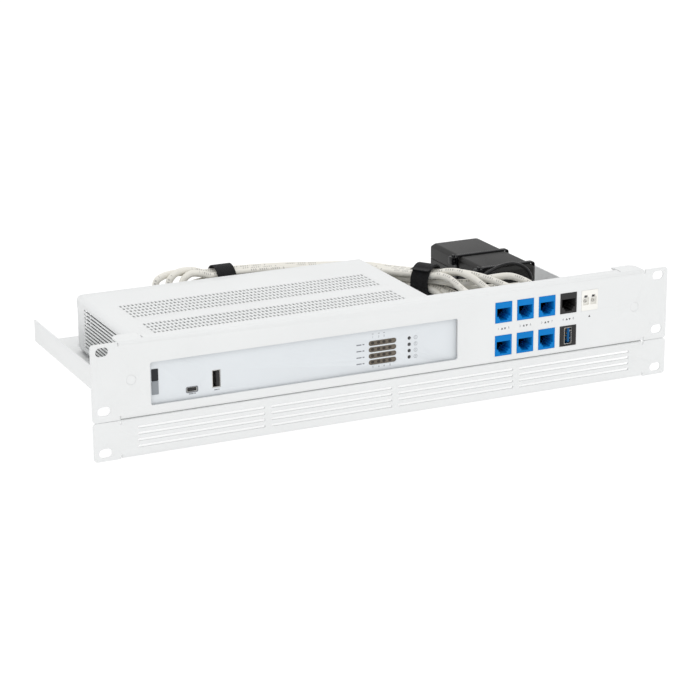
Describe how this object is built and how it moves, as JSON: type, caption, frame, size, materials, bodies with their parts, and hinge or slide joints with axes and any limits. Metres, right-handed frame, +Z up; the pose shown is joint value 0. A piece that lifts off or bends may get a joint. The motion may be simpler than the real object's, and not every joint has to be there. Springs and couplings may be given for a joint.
{
  "type": "rack-mounted firewall appliance",
  "caption": "White desktop firewall in a two-unit rack tray, with front keystone couplers, a slotted vent panel, bundled patch cables and a strapped power adapter.",
  "frame": {"origin": "centre of the rack slot pattern, on the front face of the panels", "axes": "+X to the right seen from the front, +Y to the rear of the rack, +Z up"},
  "size_m": [0.4826, 0.2056, 0.0882],
  "materials": {
    "panel_paint": "fine white powder coat",
    "zinc_steel": "zinc plated",
    "blue_plastic": "satin moulded blue",
    "black_plastic": "satin moulded black",
    "nickel_shell": "nickel plated",
    "cream_plastic": "satin moulded cream",
    "gold_contact": "gold plated",
    "bare_steel": "galvanised",
    "cover_paint": "fine white powder coat",
    "fascia_plastic": "satin moulded pale grey",
    "badge_print": "two greys",
    "smoked_lens": "smoked light pipe",
    "clear_lens": "clear light pipe",
    "circuit_board": "solder mask",
    "aluminium": "extruded",
    "soft_rubber": "matt",
    "adapter_plastic": "fine textured black",
    "tie_nylon": "black nylon",
    "lead_jacket": "smooth black",
    "cable_jacket": "ivory jacket",
    "plug_plastic": "moulded ivory boot, clear plug",
    "strap_fabric": "black hook and loop"
  },
  "bodies": {
    "kit": {"front_panel": "panel_paint", "vent_panel": "panel_paint", "tray": "panel_paint", "panel_studs": "zinc_steel", "lock_nuts": "zinc_steel", "panel_screws": "zinc_steel", "rivets": "zinc_steel", "adapter_bracket": "panel_paint", "rear_stops": "panel_paint", "data_coupler_1": "blue_plastic", "data_coupler_2": "blue_plastic", "data_coupler_3": "blue_plastic", "data_coupler_4": "blue_plastic", "data_coupler_5": "blue_plastic", "data_coupler_6": "blue_plastic", "console_coupler": "black_plastic", "usb_coupler": "black_plastic", "usb_coupler_shell": "nickel_shell", "fibre_adapter": "cream_plastic", "coupler_contacts": "gold_contact", "chassis_base": "bare_steel", "top_cover": "cover_paint", "fascia": "fascia_plastic", "fascia_badge": "badge_print", "port_light_windows": "smoked_lens", "status_lights": "clear_lens", "usb_ports": "nickel_shell", "service_port": "nickel_shell", "main_board": "circuit_board", "heat_sink": "aluminium", "port_block": "nickel_shell", "sfp_cage": "nickel_shell", "dc_jack": "black_plastic", "reset_switch": "nickel_shell", "fan_frame": "black_plastic", "fan_screws": "zinc_steel", "case_screws": "zinc_steel", "rubber_feet": "soft_rubber", "adapter_lower_shell": "adapter_plastic", "adapter_upper_shell": "adapter_plastic", "adapter_board": "circuit_board", "mains_inlet": "black_plastic", "adapter_ties": "tie_nylon", "strain_relief": "adapter_plastic", "dc_lead": "lead_jacket", "dc_plug": "adapter_plastic", "patch_cable_1": "cable_jacket", "patch_cable_2": "cable_jacket", "patch_cable_3": "cable_jacket", "patch_cable_4": "cable_jacket", "patch_cable_5": "cable_jacket", "patch_cable_6": "cable_jacket", "console_cable": "cable_jacket", "usb_cable": "cable_jacket", "appliance_plugs": "plug_plastic", "coupler_plugs": "plug_plastic", "strap_left": "strap_fabric", "strap_right": "strap_fabric"},
    "fan_rotor": {"fan_rotor": "black_plastic"},
    "reset_button": {"reset_button": "black_plastic"}
  },
  "joints": [
    {"name": "fan_spin", "type": "hinge", "parent": "kit", "child": "fan_rotor", "pos_m": [-0.1833, 0.12, 0.01195], "axis": [1, 0, 0], "continuous": true},
    {"name": "reset_press", "type": "slide", "parent": "kit", "child": "reset_button", "axis": [0, -1, 0], "range_m": [0, 0.0006], "stiffness_N_per_m": 400, "springref_m": -0.0006}
  ]
}
